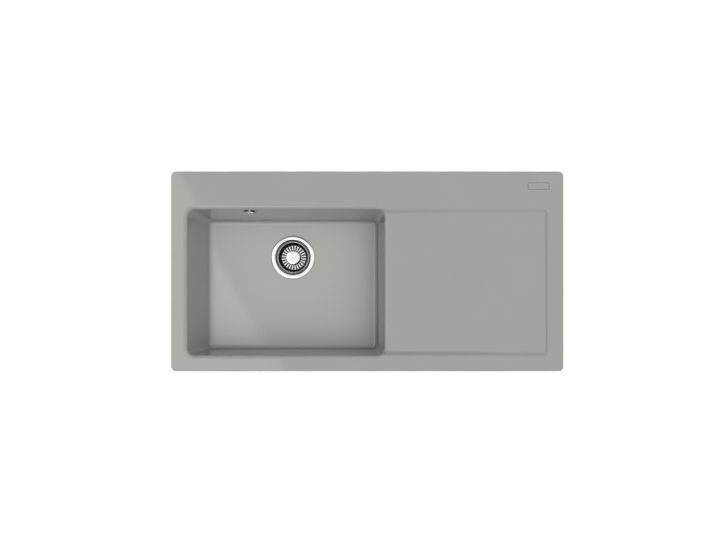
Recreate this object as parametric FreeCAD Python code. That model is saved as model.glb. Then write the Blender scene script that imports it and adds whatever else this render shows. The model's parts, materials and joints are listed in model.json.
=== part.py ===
"""Kitchen sink with drainboard: a glazed ceramic inset sink with its basket strainer waste and its overflow.

Millimetres. X runs along the sink towards the drainboard, Y towards the tap ledge, Z up. The origin is the
centre of the worktop cut-out, in the plane of the worktop, so the rim stands above z = 0 and the bowl, the
waste and the overflow hang below it.
"""

import FreeCAD, Part
import math
import os

# --- sizes: ceramic outline and rim ---------------------------------------------------------------------
SINK_LENGTH = 1000.0
SINK_WIDTH = 510.0
OUTLINE_CORNER = 13.0
RIM_THICKNESS = 12.0
RIM_OUTER_ROUND = 4.5
INNER_ROUND = 8.5            # rounds the rim into the bowl and the drainboard, and the lip between them
SIDE_RIM = 40.0
FRONT_RIM = 40.5
TAP_LEDGE = 96.0

# --- sizes: ceramic bowl --------------------------------------------------------------------------------
BOWL_LENGTH = 504.0
BOWL_DEPTH = 190.0           # rim top to the floor beside the waste
BOWL_CORNER_AT_RIM = 20.0     # in plan
BOWL_CORNER_AT_FLOOR = 13.0
END_WALL_DRAFT = 5.8         # degrees, left and right walls
LONG_WALL_DRAFT = 2.9        # degrees, front and back walls
FLOOR_FILLET = 11.0
FLOOR_FALL = 0.02            # rise per length of the floor away from the waste
WALL = 11.0
FLOOR_THICKNESS = 12.0
BASE_ROUND = 20.0

# --- sizes: ceramic drainboard --------------------------------------------------------------------------
BOARD_DEPTH_AT_END = 7.0
BOARD_DEPTH_AT_LIP = 12.5
BOARD_WALL_LEAN = 42.0       # degrees from upright
BOARD_CORNER = 9.0
BOARD_FILLET = 7.0
BOARD_THICKNESS = 11.0

# --- sizes: ceramic underside ---------------------------------------------------------------------------
CUTOUT_LENGTH = 980.0
CUTOUT_WIDTH = 490.0
CUTOUT_GAP = 2.0
SKIRT_DEPTH = 22.0
SKIRT_THICKNESS = 12.0
RIB_THICKNESS = 12.0
POCKET_CORNER = 10.0
BOARD_POCKETS = 4
LEDGE_RIBS = (-215.0, -50.0, 110.0, 295.0)
TAP_HOLE_DIAMETER = 35.0
TAP_HOLE_SPACING = 100.0
TAP_HOLE_SKIN = 5.0
TAP_HOLE_PLACES = (0.0, -1.0)    # in spacings from the middle of the sink

# --- sizes: waste ---------------------------------------------------------------------------------------
OUTLET_FROM_BACK_WALL = 109.5
OUTLET_HOLE_DIAMETER = 90.0
FLANGE_DIAMETER = 119.0
FLANGE_EDGE_GAP = 1.5
FLANGE_SEAT_DEPTH = 3.0
FLANGE_CONE_GAP = 0.6
DISH_ROUND = 2.0
FLANGE_GASKET_THICKNESS = 1.5
FLANGE_CROWN = 1.6
FLANGE_CROWN_WIDTH = 9.5
STEEL = 1.0
CUP_DIAMETER = 85.0          # inside
CUP_TOP_ROUND = 1.5
CUP_CORNER_ROUND = 4.0
CUP_CONE_DEPTH = 7.5
CUP_DEPTH = 34.0             # flange edge to the flat the plug closes on
CUP_WELL_DEPTH = 12.0
CUP_WELL_DIAMETER = 48.0
CUP_HUB_DIAMETER = 22.0
CUP_OPENINGS = 6
CUP_OPENING_WEB = 4.0
BODY_GASKET_THICKNESS = 3.0
BODY_FLANGE_DIAMETER = 119.0
BODY_FLANGE_THICKNESS = 4.0
BODY_DIAMETER = 103.0
BODY_WALL = 2.5
BODY_SHOULDER_ROUND = 15.0
BODY_DEPTH = 50.0            # bowl floor to the start of the funnel
FUNNEL_DEPTH = 26.0
TAIL_THREAD_DIAMETER = 47.8
TAIL_BORE = 40.0
TAIL_LENGTH = 28.0
TAIL_CHAMFER = 1.5
BOSS_DIAMETER = 16.0
BOSS_DEPTH = 18.0
BODY_RIBS = 3
BODY_RIB_THICKNESS = 3.0

# --- sizes: fixing screw and plug -----------------------------------------------------------------------
SCREW_DIAMETER = 6.0
SCREW_LENGTH = 19.5
SCREW_HEAD_DIAMETER = 16.0
SCREW_HEAD_HEIGHT = 10.5
SCREW_HEAD_ROUND = 1.5
SCREW_POINT = 0.7
SCREW_SLOT = 2.0
SCREW_CLEARANCE = 0.3
THREAD_CLEARANCE = 0.05
INSERT_FLATS = 10.0
INSERT_LENGTH = 8.0
PIN_DIAMETER = 8.0
PIN_RUNNING_GAP = 0.05
PIN_SOCKET_GAP = 0.65
PIN_TIP_CHAMFER = 1.2
PIN_COLLAR_DIAMETER = 15.0
PIN_COLLAR_THICKNESS = 2.0
PIN_END_ABOVE_CLIP = 3.2
PIN_TOP_ROUND = 0.8
O_RING_SECTION = 1.3
O_RING_PROUD = 0.25
O_RING_GROOVE_WIDTH = 1.56
CLIP_DIAMETER = 12.5
CLIP_THICKNESS = 0.8
CLIP_GROOVE_DEPTH = 0.9
CLIP_MOUTH = 5.0
REST_GAP = 0.3               # between a loose piece and the one it stands over
BASKET_RIM_DIAMETER = 88.0
BASKET_RIM_ROLL = 2.4
BASKET_ROLL_ROUND = 1.08
BASKET_STEEL = 0.8
BASKET_DEPTH = 17.0          # rim to bottom
BASKET_BOTTOM_DIAMETER = 67.0
BASKET_SLOTS = 24
BASKET_SLOT_WIDTH = 3.3
BASKET_SLOT_INNER = 46.0
BASKET_SLOT_OUTER = 65.0
SEAL_DIAMETER = 56.0
SEAL_THICKNESS = 3.0
SEAL_EDGE = 0.8
STOPPER_WALL = 1.5
STOPPER_SHOULDER = 3.0
STOPPER_FOOT_HEIGHT = 2.5
STOPPER_LIP = 1.2
KNOB_DIAMETER = 39.0
KNOB_STEM_DIAMETER = 20.0
KNOB_STEM_BORE = 15.0
KNOB_CAP_HEIGHT = 6.0
KNOB_UNDERCUT = 1.5          # rise of the cap's underside to its edge
KNOB_EDGE_ROUND = 1.2
KNOB_CROWN_DROP = 1.2
KNOB_CROWN_WIDTH = 5.0
KNOB_CROWN_ROUND = 12.0
KNOB_TOP_BELOW_FLOOR = 1.5

# --- sizes: overflow ------------------------------------------------------------------------------------
OVERFLOW_FROM_OUTLET = 97.5
OVERFLOW_BELOW_RIM = 36.0
OVERFLOW_TILT = 10.0         # degrees that the rosette faces upwards
ROSETTE_DIAMETER = 37.5
ROSETTE_RING_WIDTH = 4.2
ROSETTE_THICKNESS = 2.6
ROSETTE_RECESS = 1.2
ROSETTE_BEVEL = 1.5
ROSETTE_EDGE_ROUND = 0.5
ROSETTE_SPOKES = 4
ROSETTE_SPOKE_WIDTH = 3.4
ROSETTE_HUB_DIAMETER = 12.0
ROSETTE_HUB_PROUD = 0.4
ROSETTE_COLLAR_RISE = 0.8
ROSETTE_SPIGOT_LENGTH = 5.0
ROSETTE_SPIGOT_WALL = 1.4
ROSETTE_SEAT_GAP = 0.75
ROSETTE_SEAT_DEPTH = 0.5      # of the flat seat at its lower, shallow edge
OVERFLOW_HOLE_DIAMETER = 28.0
OVERFLOW_HOLE_GAP = 0.5
OVERFLOW_PAD_DIAMETER = 44.0
OVERFLOW_WALL = 14.0         # rosette seat to the pad behind the wall
OVERFLOW_SCREW_DIAMETER = 5.0
OVERFLOW_SCREW_HEAD_DIAMETER = 9.5
OVERFLOW_SCREW_HEAD_HEIGHT = 2.6
OVERFLOW_SCREW_HEAD_EDGE = 0.8
OVERFLOW_SCREW_EDGE_ROUND = 0.3
OVERFLOW_SCREW_CROWN_ROUND = 4.0
OVERFLOW_SCREW_REACH = 33.0
OVERFLOW_SCREW_POINT = 0.6
CROSS_SLOT_WIDTH = 1.1
CROSS_SLOT_DEPTH = 1.4
OVERFLOW_INSERT_FLATS = 8.0
OVERFLOW_INSERT_LENGTH = 8.0
ELBOW_GASKET_THICKNESS = 3.0
ELBOW_FLANGE_DIAMETER = 38.0
ELBOW_FLANGE_THICKNESS = 3.0
ELBOW_BARREL_DIAMETER = 33.0
ELBOW_WALL = 2.5
ELBOW_REACH = 14.0           # elbow flange to the axis of its outlet
ELBOW_END = 10.0             # axis of the outlet to the closed end
ELBOW_END_ROUND = 6.0
ELBOW_DROP = 46.0
ELBOW_BOSS_DIAMETER = 12.0
PIPE_DIAMETER = 20.0
PIPE_WALL = 1.6
PIPE_BEND = 36.0
PIPE_SOCKET_GAP = 0.4
PIPE_SOCKET_DEPTH = 22.0
STUB_DIAMETER = 27.0
INLET_BELOW_FLOOR = 35.0
INLET_REACH = 80.0           # outlet axis to the mouth of the inlet
NUT_DIAMETER = 37.0
NUT_LENGTH = 18.0
NUT_END_WALL = 1.6
NUT_OVERLAP = 11.0
NUT_MOUTH_ROUND = 1.5
NUT_END_ROUND = 2.5
NUT_FLUTES = 12
NUT_FLUTE_RADIUS = 3.0
NUT_FLUTE_DEPTH = 1.4
THREAD_GAP = 0.15
WASHER_SHOULDER = 1.5
WASHER_NOSE_WALL = 1.4

# --- derived places -------------------------------------------------------------------------------------
X_LEFT = SIDE_RIM - SINK_LENGTH / 2
X_RIGHT = SINK_LENGTH / 2 - SIDE_RIM
X_LIP = X_LEFT + BOWL_LENGTH
Y_FRONT = FRONT_RIM - SINK_WIDTH / 2
Y_BACK = SINK_WIDTH / 2 - TAP_LEDGE
FLOOR = RIM_THICKNESS - BOWL_DEPTH
UNDERSIDE = FLOOR - FLOOR_THICKNESS
OUTLET_X = (X_LEFT + X_LIP) / 2
OUTLET_Y = Y_BACK - OUTLET_FROM_BACK_WALL
DISH_RADIUS = FLANGE_DIAMETER / 2 + FLANGE_EDGE_GAP
FLANGE_SEAT = FLOOR - FLANGE_SEAT_DEPTH
FLANGE_EDGE = FLANGE_SEAT + FLANGE_GASKET_THICKNESS
CUP_TOP_RADIUS = FLANGE_DIAMETER / 2 - FLANGE_CROWN_WIDTH
CUP_CONE_TOP = FLANGE_EDGE + STEEL
CUP_FLAT = FLANGE_EDGE - CUP_DEPTH
CUP_HUB = CUP_FLAT - CUP_WELL_DEPTH
CONE_SLOPE = CUP_CONE_DEPTH / (CUP_TOP_RADIUS - CUP_DIAMETER / 2)
SEAT_MOUTH_RADIUS = (CUP_TOP_RADIUS - (CUP_CONE_TOP - FLANGE_SEAT) / CONE_SLOPE + FLANGE_CONE_GAP
                     + STEEL * math.hypot(1, 1 / CONE_SLOPE))
BODY_TOP = UNDERSIDE - BODY_GASKET_THICKNESS
BODY_RADIUS = BODY_DIAMETER / 2
FUNNEL_TOP = FLOOR - BODY_DEPTH
FUNNEL_FOOT = FUNNEL_TOP - FUNNEL_DEPTH
TAIL_FOOT = FUNNEL_FOOT - TAIL_LENGTH
BOSS_TOP = CUP_HUB - STEEL
SCREW_HEAD_TOP = CUP_HUB + SCREW_HEAD_HEIGHT
BOSS_FOOT = BOSS_TOP - BOSS_DEPTH
PIN_RADIUS = PIN_DIAMETER / 2
SEAL_FOOT = CUP_FLAT + REST_GAP
SEAL_TOP = SEAL_FOOT + SEAL_THICKNESS
BASKET_RIM_TOUCH = CUP_CONE_TOP - CONE_SLOPE * (CUP_TOP_RADIUS - BASKET_RIM_DIAMETER / 2)
BASKET_RIM_FOOT = BASKET_RIM_TOUCH + 1.5 * REST_GAP
BASKET_RIM = BASKET_RIM_FOOT + BASKET_RIM_ROLL
BASKET_BOTTOM = BASKET_RIM - BASKET_DEPTH
KNOB_TOP = FLOOR - KNOB_TOP_BELOW_FLOOR
OVERFLOW_X = OUTLET_X - OVERFLOW_FROM_OUTLET
OVERFLOW_Z = RIM_THICKNESS - OVERFLOW_BELOW_RIM
INLET_Z = FLOOR - INLET_BELOW_FLOOR
PIPE_RADIUS = PIPE_DIAMETER / 2
STUB_RADIUS = STUB_DIAMETER / 2

V = FreeCAD.Vector
ORIGIN = V(0, 0, 0)
UP = V(0, 0, 1)
SAME_LEVEL = 0.01            # heights that differ by less are one height
SAME_POINT = 1e-6
OUTLET = V(OUTLET_X, OUTLET_Y, 0)


# --- helpers --------------------------------------------------------------------------------------------
def tangent(degrees):
    return math.tan(math.radians(degrees))


def rounded_edges(points, closed=True):
    """Lines through (x, z) or (x, z, radius) points, with an arc at each point that has a radius."""
    places = [V(p[0], 0, p[1]) for p in points]
    radii = [p[2] if len(p) > 2 else 0 for p in points]
    corners = []
    for i, here in enumerate(places):
        if not radii[i]:
            corners.append((here, None, here))
            continue
        back = (places[i - 1] - here).normalize()
        on = (places[(i + 1) % len(places)] - here).normalize()
        half = back.getAngle(on) / 2
        middle = (back + on).normalize()
        run = radii[i] / math.tan(half)
        crown = here + middle * (radii[i] / math.sin(half) - radii[i])
        corners.append((here + back * run, crown, here + on * run))
    edges = []
    count = len(corners)
    for i, (start, crown, end) in enumerate(corners):
        if crown is not None:
            edges.append(Part.Arc(start, crown, end).toShape())
        if i == count - 1 and not closed:
            break
        following = corners[(i + 1) % count][0]
        if end.distanceToPoint(following) > SAME_POINT:
            edges.append(Part.LineSegment(end, following).toShape())
    return edges


def turned(points, centre=ORIGIN):
    """A solid of revolution about the upright line through the centre, from a closed (radius, z) profile."""
    solid = Part.Face(Part.Wire(rounded_edges(points))).revolve(ORIGIN, UP, 360)
    solid.translate(V(centre.x, centre.y, 0))
    return solid


def disc(radius, low, high, centre=ORIGIN):
    return Part.makeCylinder(radius, high - low, V(centre.x, centre.y, low))


def ring(outer, inner, low, high, centre=ORIGIN):
    return turned([(inner, low), (outer, low), (outer, high), (inner, high)], centre)


def pressed(points, thickness, centre=ORIGIN):
    """Sheet metal spun about the upright line: an open (radius, z) line given its thickness on the left."""
    line = Part.Wire(rounded_edges(points, closed=False))
    sheet = line.makeOffset2D(thickness, 0, True, True, False)
    solid = sheet.revolve(ORIGIN, UP, 360)
    solid.translate(V(centre.x, centre.y, 0))
    return solid


def rectangle_wire(x0, x1, y0, y1, corner, z):
    points = [(x0, y0, corner), (x1, y0, corner), (x1, y1, corner), (x0, y1, corner)]
    wire = Part.Wire(rounded_edges(points))
    wire.rotate(ORIGIN, V(1, 0, 0), -90)
    wire.translate(V(0, 0, z))
    return wire


def block(x0, x1, y0, y1, corner, low, high):
    return Part.Face(rectangle_wire(x0, x1, y0, y1, corner, low)).extrude(V(0, 0, high - low))


def hexagon(flats, low, high, centre=ORIGIN):
    corner = flats / math.sqrt(3)
    points = [V(corner * math.cos(math.radians(60 * i)), corner * math.sin(math.radians(60 * i)), low)
              for i in range(7)]
    prism = Part.Face(Part.makePolygon(points)).extrude(V(0, 0, high - low))
    prism.translate(V(centre.x, centre.y, 0))
    return prism


def around(shape, count, centre=ORIGIN):
    """Copies of a shape, evenly turned about the upright line through the centre."""
    copies = []
    for i in range(count):
        copy = shape.copy()
        copy.rotate(centre, UP, 360 * i / count)
        copies.append(copy)
    return copies


def radial_slot(inner, outer, width, low, high):
    """A slot with round ends that points away from the centre."""
    half = width / 2
    flat = Part.makeBox(outer - inner - width, width, high - low, V(inner + half, -half, low))
    ends = [disc(half, low, high, V(x, 0, 0)) for x in (inner + half, outer - half)]
    return flat.fuse(ends)


def facing(shape, place, direction, turn=0.0):
    """Moves a shape built along +Z so that its own +Z points in a direction from a place."""
    shape = shape.copy()
    spin = FreeCAD.Rotation(UP, direction).multiply(FreeCAD.Rotation(UP, turn))
    shape.Placement = FreeCAD.Placement(place, spin).multiply(shape.Placement)
    return shape


# --- ceramic sink ---------------------------------------------------------------------------------------
def bowl_outline(z, offset=0.0):
    fall = RIM_THICKNESS - z
    end = fall * tangent(END_WALL_DRAFT) - offset
    side = fall * tangent(LONG_WALL_DRAFT) - offset
    x_lip = X_LIP + BOARD_DEPTH_AT_LIP * tangent(END_WALL_DRAFT)
    corner = BOWL_CORNER_AT_RIM - (BOWL_CORNER_AT_RIM - BOWL_CORNER_AT_FLOOR) * fall / BOWL_DEPTH + offset
    return rectangle_wire(X_LEFT + end, x_lip - end, Y_FRONT + side, Y_BACK - side, corner, z)


def bowl_hollow():
    """Four drafted walls over a floor that falls to the waste, with the walls rounded into the floor."""
    tapered = Part.makeLoft([bowl_outline(RIM_THICKNESS), bowl_outline(FLOOR - FLOOR_THICKNESS)], True, True)
    reach = BOWL_LENGTH
    rise = FLOOR_FALL * (reach - DISH_RADIUS)
    above = turned([(0, FLOOR - FLOOR_FALL * DISH_RADIUS), (reach, FLOOR + rise), (reach, 2 * RIM_THICKNESS),
                    (0, 2 * RIM_THICKNESS)], OUTLET)
    hollow = tapered.common(above)
    highest = FLOOR + FLOOR_FALL * BOWL_LENGTH
    floor_loop = [edge for edge in hollow.Edges
                  if edge.BoundBox.ZMax < highest and edge.BoundBox.DiagonalLength > 1]
    return hollow.makeFillet(FLOOR_FILLET, floor_loop)


def board_level(x):
    """Height of the drainboard's floor, which falls from its far end to the lip."""
    share = (X_RIGHT - x) / (X_RIGHT - X_LIP)
    return RIM_THICKNESS - BOARD_DEPTH_AT_END - share * (BOARD_DEPTH_AT_LIP - BOARD_DEPTH_AT_END)


def above_board(offset=0.0):
    """The space above the drainboard's sloping floor."""
    x0, x1, y, top = X_LEFT, SINK_LENGTH / 2, SINK_WIDTH, 2 * RIM_THICKNESS
    low0, low1 = board_level(x0) + offset, board_level(x1) + offset
    side = [V(x0, -y, low0), V(x1, -y, low1), V(x1, -y, top), V(x0, -y, top)]
    return Part.Face(Part.makePolygon(side + side[:1])).extrude(V(0, 2 * y, 0))


def board_hollow():
    """A shallow tray with leaning walls that runs on over the bowl, so that it is open at the lip."""
    depth = 2 * BOARD_DEPTH_AT_LIP
    inset = depth * tangent(BOARD_WALL_LEAN)
    start = X_LIP - 2 * depth - inset
    top = rectangle_wire(start, X_RIGHT, Y_FRONT, Y_BACK, BOARD_CORNER, RIM_THICKNESS)
    low = rectangle_wire(start + inset, X_RIGHT - inset, Y_FRONT + inset, Y_BACK - inset, BOARD_CORNER / 2,
                         RIM_THICKNESS - depth)
    tray = Part.makeLoft([top, low], True, True).common(above_board())
    low_faces = [face for face in tray.Faces if face.BoundBox.ZMax < RIM_THICKNESS - 1]
    floor_face = max(low_faces, key=lambda face: face.Area)
    return tray.makeFillet(BOARD_FILLET, floor_face.Edges)


def hollows():
    """Bowl and drainboard as one space, flared by the round rim and the round lip between them."""
    x, y = SINK_LENGTH / 2 - RIM_OUTER_ROUND, SINK_WIDTH / 2 - RIM_OUTER_ROUND
    mould = block(-x, x, -y, y, OUTLINE_CORNER, UNDERSIDE - FLOOR_THICKNESS, RIM_THICKNESS)
    cut = mould.cut(bowl_hollow().fuse(board_hollow()))
    rim_edges = []
    lip_edges = []
    for edge in cut.Edges:
        box = edge.BoundBox
        inside = abs(box.XMin) < x - 1 and abs(box.XMax) < x - 1 and abs(box.YMin) < y - 1
        if inside and box.ZMin > RIM_THICKNESS - SAME_LEVEL:
            rim_edges.append(edge)
        near_lip = box.XMin > X_LIP - BOWL_CORNER_AT_RIM - 2 and box.XMax < X_LIP + 2
        below_rim = RIM_THICKNESS - box.ZMin
        if near_lip and SAME_LEVEL < below_rim < BOARD_DEPTH_AT_LIP + 1:
            lip_edges.append(edge)
    rounded = cut.makeFillet(INNER_ROUND, rim_edges + lip_edges)
    dished = rounded.cut(disc(DISH_RADIUS, FLANGE_SEAT, FLOOR + FLANGE_SEAT_DEPTH, OUTLET))
    dish_edges = [edge for edge in dished.Edges if abs(edge.BoundBox.XLength - 2 * DISH_RADIUS) < 1
                  and abs(edge.BoundBox.ZMax - FLOOR) < FLANGE_SEAT_DEPTH / 2]
    return mould.cut(dished.makeFillet(DISH_ROUND, dish_edges))


def outer_bowl():
    shell = Part.makeLoft([bowl_outline(RIM_THICKNESS / 2, WALL), bowl_outline(UNDERSIDE, WALL)], True, True)
    base = [edge for edge in shell.Edges if edge.BoundBox.ZMax < UNDERSIDE + SAME_LEVEL]
    return shell.makeFillet(BASE_ROUND, base)


def rim_slab():
    x, y = SINK_LENGTH / 2, SINK_WIDTH / 2
    slab = block(-x, x, -y, y, OUTLINE_CORNER, 0, RIM_THICKNESS)
    top = [edge for edge in slab.Edges if edge.BoundBox.ZMin > RIM_THICKNESS - SAME_LEVEL]
    return slab.makeFillet(RIM_OUTER_ROUND, top)


def skirt():
    """Downturned edge that drops into the cut-out, with the pockets that leave ribs behind."""
    x, y = CUTOUT_LENGTH / 2 - CUTOUT_GAP, CUTOUT_WIDTH / 2 - CUTOUT_GAP
    solid = block(-x, x, -y, y, OUTLINE_CORNER, -SKIRT_DEPTH, RIM_THICKNESS / 2)
    inner_x, inner_y = x - SKIRT_THICKNESS, y - SKIRT_THICKNESS
    pockets = []
    ledge_front = Y_BACK + WALL
    stops = [-inner_x] + list(LEDGE_RIBS) + [inner_x]
    for i in range(len(stops) - 1):
        left = stops[i] + (RIB_THICKNESS / 2 if i else 0)
        right = stops[i + 1] - (RIB_THICKNESS / 2 if i < len(LEDGE_RIBS) else 0)
        front = ledge_front - WALL if right < X_LIP + WALL else ledge_front
        pockets.append(block(left, right, front, inner_y, POCKET_CORNER, -2 * SKIRT_DEPTH, 0))
    bay_left = X_LIP + WALL
    bay = (inner_x - bay_left - (BOARD_POCKETS - 1) * RIB_THICKNESS) / BOARD_POCKETS
    middle = (Y_FRONT + Y_BACK) / 2
    below = block(-x, x, -y, y, OUTLINE_CORNER, -2 * SKIRT_DEPTH, RIM_THICKNESS)
    below = below.cut(above_board(-BOARD_THICKNESS))
    for i in range(BOARD_POCKETS):
        left = bay_left + i * (bay + RIB_THICKNESS)
        for front, back in ((-inner_y, middle - RIB_THICKNESS / 2),
                            (middle + RIB_THICKNESS / 2, ledge_front - RIB_THICKNESS)):
            pocket = block(left, left + bay, front, back, POCKET_CORNER, -2 * SKIRT_DEPTH, RIM_THICKNESS)
            pockets.append(pocket.common(below))
    return solid.cut(pockets)


def overflow_stack(shape):
    """Places a piece built along the overflow's axis, with z = 0 at the rosette's seat, facing the bowl."""
    lean = math.radians(OVERFLOW_TILT)
    seat_radius = ROSETTE_DIAMETER / 2 + ROSETTE_SEAT_GAP
    lower_edge = OVERFLOW_BELOW_RIM + seat_radius * math.cos(lean)
    y = Y_BACK - lower_edge * tangent(LONG_WALL_DRAFT) + seat_radius * math.sin(lean) + ROSETTE_SEAT_DEPTH
    shape = shape.copy()
    turn = FreeCAD.Rotation(V(1, 0, 0), 90 - OVERFLOW_TILT)
    shape.Placement = FreeCAD.Placement(V(OVERFLOW_X, y, OVERFLOW_Z), turn).multiply(shape.Placement)
    return shape


def sink_body():
    pad = overflow_stack(disc(OVERFLOW_PAD_DIAMETER / 2, -OVERFLOW_WALL, 0))
    solid = rim_slab().fuse([skirt(), outer_bowl(), pad])
    spot_face = overflow_stack(disc(ROSETTE_DIAMETER / 2 + ROSETTE_SEAT_GAP, 0, 2 * WALL))
    overflow_hole = overflow_stack(disc(OVERFLOW_HOLE_DIAMETER / 2, -2 * OVERFLOW_WALL, WALL))
    hole = OUTLET_HOLE_DIAMETER / 2
    mouth = max(SEAT_MOUTH_RADIUS, hole)
    cone_foot = FLANGE_SEAT - (mouth - hole) * CONE_SLOPE
    outlet_hole = turned([(0, UNDERSIDE - 1), (hole, UNDERSIDE - 1), (hole, cone_foot), (mouth, FLANGE_SEAT),
                          (mouth, FLOOR + 1), (0, FLOOR + 1)], OUTLET)
    tap_y = (Y_BACK + WALL + CUTOUT_WIDTH / 2 - CUTOUT_GAP - SKIRT_THICKNESS) / 2
    tap_holes = [disc(TAP_HOLE_DIAMETER / 2, -SKIRT_DEPTH, RIM_THICKNESS - TAP_HOLE_SKIN,
                      V(place * TAP_HOLE_SPACING, tap_y, 0)) for place in TAP_HOLE_PLACES]
    return solid.cut([hollows(), spot_face, overflow_hole, outlet_hole] + tap_holes)


# --- waste ----------------------------------------------------------------------------------------------
def waste_flange():
    """Pressed steel: a crowned ring, the cone the basket rests on, a deep cup and a well with openings."""
    edge = FLANGE_DIAMETER / 2
    top = CUP_CONE_TOP
    line = [(edge, FLANGE_EDGE), (edge, FLANGE_EDGE + STEEL, STEEL / 2),
            ((edge + CUP_TOP_RADIUS) / 2, top + FLANGE_CROWN, FLANGE_CROWN_WIDTH),
            (CUP_TOP_RADIUS, top, CUP_TOP_ROUND), (CUP_DIAMETER / 2, top - CUP_CONE_DEPTH, 2 * STEEL),
            (CUP_DIAMETER / 2, CUP_FLAT, CUP_CORNER_ROUND),
            (CUP_WELL_DIAMETER / 2, CUP_FLAT, 2 * STEEL), (CUP_HUB_DIAMETER / 2, CUP_HUB, 2 * STEEL),
            (SCREW_DIAMETER / 2 + SCREW_CLEARANCE, CUP_HUB)]
    cup = pressed(line, STEEL, OUTLET)
    inner = CUP_HUB_DIAMETER / 2 + STEEL
    outer = CUP_WELL_DIAMETER / 2 - STEEL
    band = ring(outer, inner, CUP_HUB - 2 * STEEL, CUP_FLAT)
    web = Part.makeBox(2 * outer, CUP_OPENING_WEB, 2 * CUP_WELL_DEPTH,
                       V(0, -CUP_OPENING_WEB / 2, CUP_HUB - 2 * STEEL))
    openings = band.cut(around(web, CUP_OPENINGS))
    openings.translate(V(OUTLET_X, OUTLET_Y, 0))
    return cup.cut(openings)


def flange_gasket():
    inner = SEAT_MOUTH_RADIUS + FLANGE_GASKET_THICKNESS / CONE_SLOPE
    return ring(FLANGE_DIAMETER / 2 - STEEL, inner, FLANGE_SEAT, FLANGE_EDGE, OUTLET)


def body_gasket():
    return ring(BODY_FLANGE_DIAMETER / 2, OUTLET_HOLE_DIAMETER / 2 + 1, BODY_TOP, UNDERSIDE, OUTLET)


def inlet_direction():
    """From the waste towards the overflow's down pipe, level."""
    return (drop_axis() - OUTLET).normalize()


def drop_axis():
    """Where the overflow's down pipe stands, seen from above."""
    mark = overflow_stack(Part.Vertex(0, 0, -OVERFLOW_WALL - ELBOW_GASKET_THICKNESS - ELBOW_REACH))
    return V(mark.Point.x, mark.Point.y, 0)


def waste_body():
    """Moulded body: flange, chamber, funnel, threaded tail, screw boss on ribs and side inlet."""
    out, inner = BODY_RADIUS, BODY_RADIUS - BODY_WALL
    tail, bore = TAIL_THREAD_DIAMETER / 2, TAIL_BORE / 2
    flange_foot = BODY_TOP - BODY_FLANGE_THICKNESS
    flange = BODY_FLANGE_DIAMETER / 2
    outside = turned([(0, BODY_TOP), (flange, BODY_TOP), (flange, flange_foot), (out, flange_foot),
                      (out, FUNNEL_TOP, BODY_SHOULDER_ROUND), (tail, FUNNEL_FOOT, BODY_WALL),
                      (tail, TAIL_FOOT + TAIL_CHAMFER), (tail - TAIL_CHAMFER, TAIL_FOOT), (0, TAIL_FOOT)])
    inside = turned([(0, BODY_TOP + 1), (inner, BODY_TOP + 1),
                     (inner, FUNNEL_TOP, BODY_SHOULDER_ROUND - BODY_WALL),
                     (bore, FUNNEL_FOOT, BODY_WALL), (bore, TAIL_FOOT - 1), (0, TAIL_FOOT - 1)])
    stub = facing(disc(STUB_RADIUS, 0, INLET_REACH), V(0, 0, INLET_Z), inlet_direction())
    boss = disc(BOSS_DIAMETER / 2, BOSS_FOOT, BOSS_TOP)
    rib = Part.makeBox(out, BODY_RIB_THICKNESS, BOSS_DEPTH,
                       V(0, -BODY_RIB_THICKNESS / 2, BOSS_FOOT))
    spider = boss.fuse(around(rib, BODY_RIBS)).common(outside)
    bore_out = facing(disc(PIPE_RADIUS - PIPE_WALL, 0, INLET_REACH), V(0, 0, INLET_Z), inlet_direction())
    socket = facing(disc(PIPE_RADIUS + PIPE_SOCKET_GAP, INLET_REACH - PIPE_SOCKET_DEPTH, INLET_REACH + 1),
                    V(0, 0, INLET_Z), inlet_direction())
    shell = outside.fuse(stub).cut([inside, bore_out, socket])
    screw_hole = disc(SCREW_DIAMETER / 2 + SCREW_CLEARANCE, BOSS_FOOT - 1, BOSS_TOP + 1)
    insert_seat = hexagon(INSERT_FLATS, BOSS_FOOT, BOSS_FOOT + INSERT_LENGTH)
    body = shell.fuse(spider).cut([screw_hole, insert_seat])
    body.translate(OUTLET)
    return body


def screw_insert():
    nut = hexagon(INSERT_FLATS, BOSS_FOOT, BOSS_FOOT + INSERT_LENGTH)
    nut = nut.cut(disc(SCREW_DIAMETER / 2 + THREAD_CLEARANCE, BOSS_FOOT - 1, BOSS_FOOT + INSERT_LENGTH + 1))
    nut.translate(OUTLET)
    return nut


def fixing_screw():
    """Machine screw whose tall head is the socket that the plug's pin drops into."""
    head, shank = SCREW_HEAD_DIAMETER / 2, SCREW_DIAMETER / 2
    socket = PIN_RADIUS + PIN_SOCKET_GAP
    socket_foot = CUP_HUB + STEEL
    foot = CUP_HUB - SCREW_LENGTH
    screw = turned([(0, foot), (shank - SCREW_POINT, foot), (shank, foot + SCREW_POINT), (shank, CUP_HUB),
                    (head, CUP_HUB), (head, SCREW_HEAD_TOP, SCREW_HEAD_ROUND), (socket + 1, SCREW_HEAD_TOP),
                    (socket, SCREW_HEAD_TOP - 1), (socket, socket_foot), (0, socket_foot)])
    slot = Part.makeBox(2 * SCREW_HEAD_DIAMETER, SCREW_SLOT, SCREW_SLOT,
                        V(-SCREW_HEAD_DIAMETER, -SCREW_SLOT / 2, SCREW_HEAD_TOP - SCREW_SLOT))
    screw = screw.cut(slot)
    screw.translate(OUTLET)
    return screw


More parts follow.
